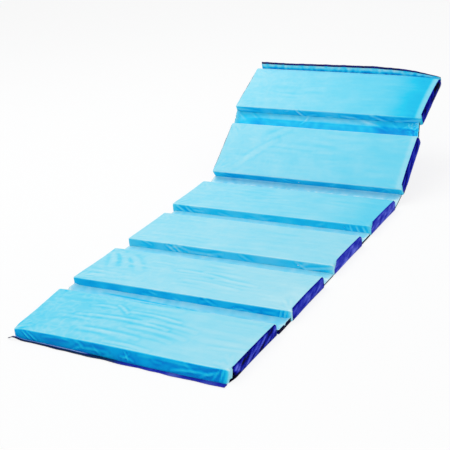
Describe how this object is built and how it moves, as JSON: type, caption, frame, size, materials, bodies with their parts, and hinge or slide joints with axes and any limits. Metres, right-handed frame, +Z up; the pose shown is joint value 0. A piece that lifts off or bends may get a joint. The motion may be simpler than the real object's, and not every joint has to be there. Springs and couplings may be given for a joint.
{
  "type": "folding swim float mat",
  "caption": "Folding swim float mat of foam panels in soft vinyl, joined by flexible webs, lying flat with its head end raised as a backrest.",
  "frame": {"origin": "on the floor, under the middle of the mat as it lies", "axes": "+X across the mat, +Y from the foot end to the raised head end, +Z up"},
  "size_m": [0.666, 1.538, 0.3006],
  "materials": {
    "top_vinyl": "soft satin vinyl sheet, light sky blue",
    "web_vinyl": "soft satin vinyl sheet, gathered, azure where it is shaded",
    "bottom_vinyl": "soft glossy vinyl sheet, royal blue",
    "edge_vinyl": "glossy vinyl seam edge, navy blue",
    "foam": "white closed-cell foam"
  },
  "bodies": {
    "panel_1": {"foam_core_1": "foam", "top_sheet_1": "top_vinyl", "bottom_sheet_1": "bottom_vinyl", "web_1_top_front": "web_vinyl", "web_1_bottom_front": "bottom_vinyl", "foot_seam": "edge_vinyl"},
    "panel_2": {"foam_core_2": "foam", "top_sheet_2": "top_vinyl", "bottom_sheet_2": "bottom_vinyl", "web_1_top_rear": "web_vinyl", "web_1_bottom_rear": "bottom_vinyl"},
    "web_2": {"web_2_top": "web_vinyl", "web_2_bottom": "bottom_vinyl"},
    "panel_3": {"foam_core_3": "foam", "top_sheet_3": "top_vinyl", "bottom_sheet_3": "bottom_vinyl", "web_3_top_front": "web_vinyl", "web_3_bottom_front": "bottom_vinyl"},
    "panel_4": {"foam_core_4": "foam", "top_sheet_4": "top_vinyl", "bottom_sheet_4": "bottom_vinyl", "web_3_top_rear": "web_vinyl", "web_3_bottom_rear": "bottom_vinyl"},
    "web_4": {"web_4_top": "web_vinyl", "web_4_bottom": "bottom_vinyl"},
    "panel_5": {"foam_core_5": "foam", "top_sheet_5": "top_vinyl", "bottom_sheet_5": "bottom_vinyl", "web_5_top_front": "web_vinyl", "web_5_bottom_front": "bottom_vinyl"},
    "panel_6": {"foam_core_6": "foam", "top_sheet_6": "top_vinyl", "bottom_sheet_6": "bottom_vinyl", "web_5_top_rear": "web_vinyl", "web_5_bottom_rear": "bottom_vinyl", "head_end_wall": "bottom_vinyl", "head_flange_top": "web_vinyl", "head_flange_bottom": "edge_vinyl"}
  },
  "joints": [
    {"name": "fold_1", "type": "hinge", "parent": "panel_2", "child": "panel_1", "pos_m": [0, -0.49747, 0], "axis": [1, 0, 0], "range_deg": [-90, 178]},
    {"name": "fold_2_front_crease", "type": "hinge", "parent": "panel_2", "child": "web_2", "pos_m": [0, -0.25497, 0], "axis": [1, 0, 0], "range_deg": [0, 88]},
    {"name": "fold_2_rear_crease", "type": "hinge", "parent": "web_2", "child": "panel_3", "pos_m": [0, -0.19397, 0], "axis": [1, 0, 0], "range_deg": [0, 88]},
    {"name": "fold_3", "type": "hinge", "parent": "panel_3", "child": "panel_4", "pos_m": [0, 0.04853, 0], "axis": [-1, 0, 0], "range_deg": [-90, 178]},
    {"name": "fold_4_front_crease", "type": "hinge", "parent": "panel_4", "child": "web_4", "pos_m": [0, 0.29103, 0], "axis": [1, 0, 0], "range_deg": [-17.25, 70.75]},
    {"name": "fold_4_rear_crease", "type": "hinge", "parent": "web_4", "child": "panel_5", "pos_m": [0, 0.34928, 0.01809], "axis": [1, 0, 0], "range_deg": [-17.25, 70.75]},
    {"name": "fold_5", "type": "hinge", "parent": "panel_5", "child": "panel_6", "pos_m": [0, 0.54914, 0.15544], "axis": [-1, 0, 0], "range_deg": [-100.5, 167.5]}
  ],
  "couplings": [
    {"joint": "fold_2_front_crease", "follows": "fold_2_rear_crease", "ratio": 1},
    {"joint": "fold_4_front_crease", "follows": "fold_4_rear_crease", "ratio": 1}
  ]
}
